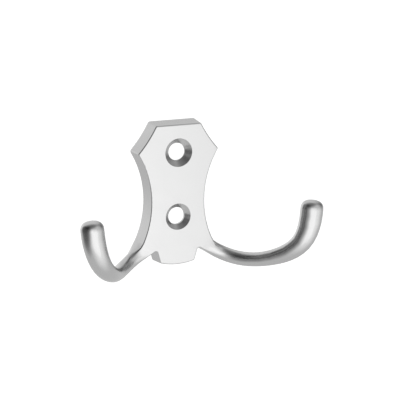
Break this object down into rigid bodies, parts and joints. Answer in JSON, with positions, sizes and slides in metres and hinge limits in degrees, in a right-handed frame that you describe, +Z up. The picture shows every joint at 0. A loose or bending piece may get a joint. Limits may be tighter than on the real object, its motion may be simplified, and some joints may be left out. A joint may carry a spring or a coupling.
{
  "type": "furniture hook",
  "caption": "Die-cast double furniture hook with a flared back plate, a pair of upturned round-ended prongs and countersunk holes for wood screws.",
  "frame": {"origin": "on the wall plane, midway between the two screw holes", "axes": "+X to the hook's right as seen from the front, +Y into the wall, +Z up; the front face looks along -Y"},
  "size_m": [0.0626, 0.023, 0.0366],
  "materials": {
    "satin_plate": "satin chrome plate on a zinc die-casting, neutral grey with soft reflections"
  },
  "bodies": {
    "root": {"hook": "satin_plate"}
  },
  "joints": []
}
